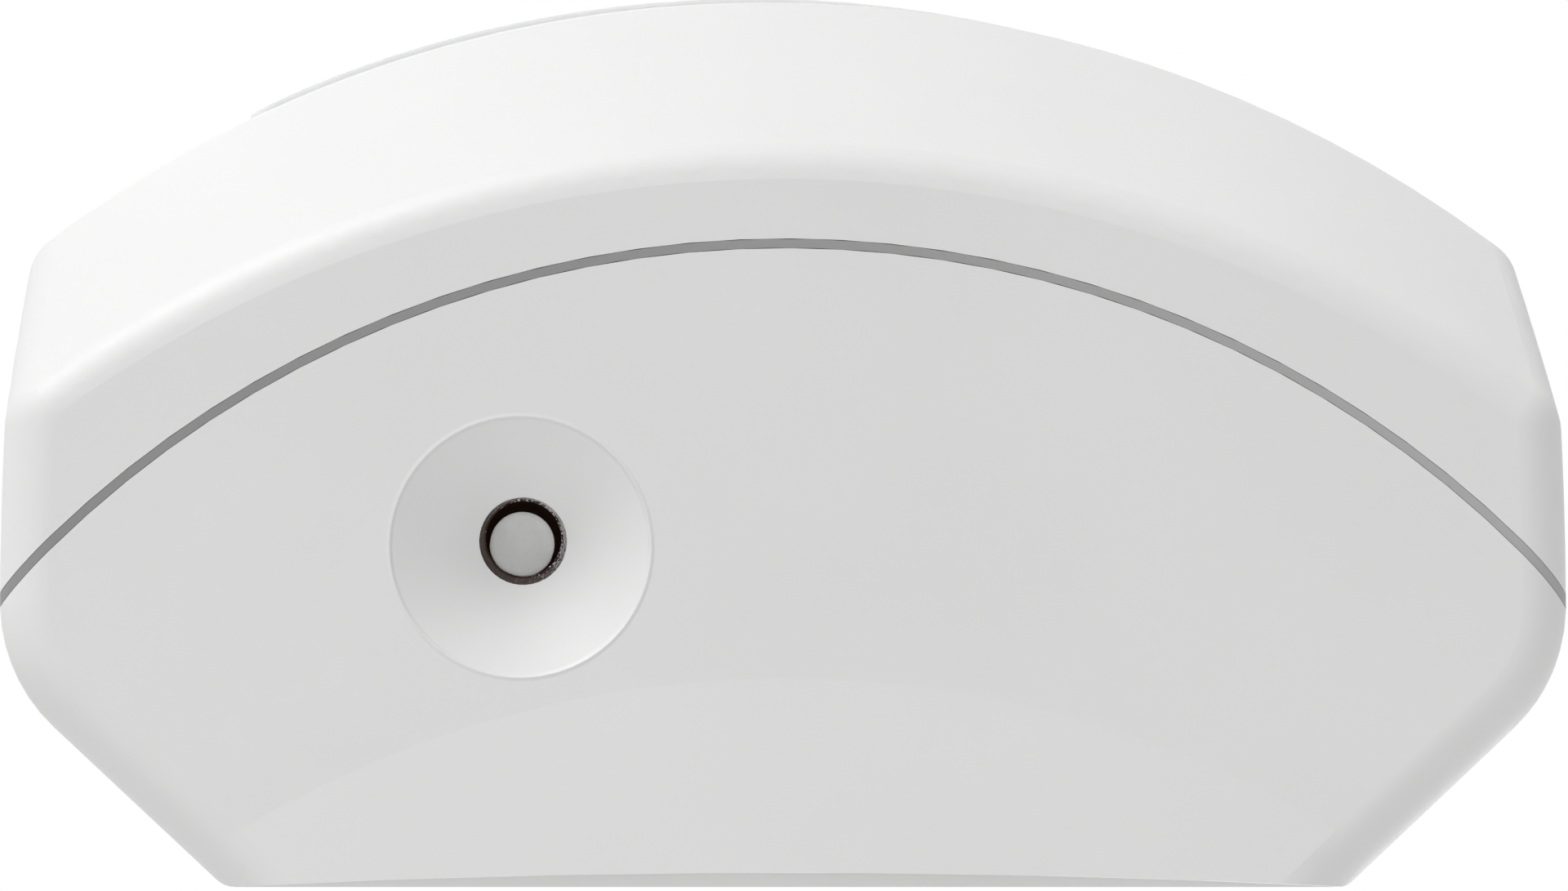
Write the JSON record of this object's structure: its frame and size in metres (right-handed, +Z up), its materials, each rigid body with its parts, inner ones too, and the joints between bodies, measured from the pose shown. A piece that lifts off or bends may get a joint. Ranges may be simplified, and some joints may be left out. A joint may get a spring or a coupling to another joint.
{
  "type": "motion detector",
  "caption": "White wall-mounted passive infrared motion detector with curved front cover, lens window, sloped chins, corner-mount faces and a light sensor in its bottom end.",
  "frame": {"origin": "centre of the flat back, on the wall plane", "axes": "+X across, +Y into the wall, +Z up; the lens faces -Y"},
  "size_m": [0.0644, 0.0411, 0.108],
  "materials": {
    "white_housing": "white moulded plastic with a fine satin sheen",
    "grey_gasket": "mid-grey moulded rubber",
    "milky_lens": "milky infrared-clear plastic",
    "dark_bush": "dark brown metal bush with a worn bright rim",
    "pale_guide": "translucent pale light guide",
    "black_package": "black moulded package",
    "green_board": "green solder mask",
    "bright_can": "bright tinned sheet",
    "dark_filter": "dark infrared filter",
    "black_foam": "closed-cell foam",
    "led_resin": "tinted clear resin",
    "capacitor_sleeve": "aluminium can",
    "red_plunger": "red moulded plunger",
    "button_cap": "pale button cap",
    "battery_wrap": "plain dark blue sleeve",
    "spring_sheet": "nickel-plated spring sheet",
    "zinc_screw": "zinc-plated steel"
  },
  "bodies": {
    "housing": {"rear_housing": "white_housing", "seal_gasket": "grey_gasket", "front_cover": "white_housing", "fresnel_lens": "milky_lens", "lens_frame": "white_housing", "light_sensor_bezel": "dark_bush", "light_guide": "pale_guide", "photodiode": "black_package", "circuit_board": "green_board", "pyro_sensor_can": "bright_can", "pyro_sensor_window": "dark_filter", "sensor_shroud": "black_foam", "microcontroller": "black_package", "radio_board": "green_board", "radio_shield": "bright_can", "antenna": "bright_can", "status_led": "led_resin", "bulk_capacitor": "capacitor_sleeve", "crystal": "bright_can", "chip_parts": "black_package", "tamper_switch_body": "black_package", "pairing_button_body": "black_package", "battery": "battery_wrap", "battery_cradle": "black_package", "battery_contact_positive": "spring_sheet", "battery_contact_negative": "spring_sheet", "board_screws": "zinc_screw"},
    "tamper_plunger": {"tamper_plunger": "red_plunger"},
    "pairing_button": {"pairing_button_cap": "button_cap"}
  },
  "joints": [
    {"name": "tamper_plunger_slide", "type": "slide", "parent": "housing", "child": "tamper_plunger", "axis": [0, 1, 0], "range_m": [0, 0.00035], "stiffness_N_per_m": 300, "springref_m": -0.0005},
    {"name": "pairing_button_slide", "type": "slide", "parent": "housing", "child": "pairing_button", "axis": [0, 1, 0], "range_m": [0, 0.0003], "stiffness_N_per_m": 600, "springref_m": -0.0003}
  ]
}
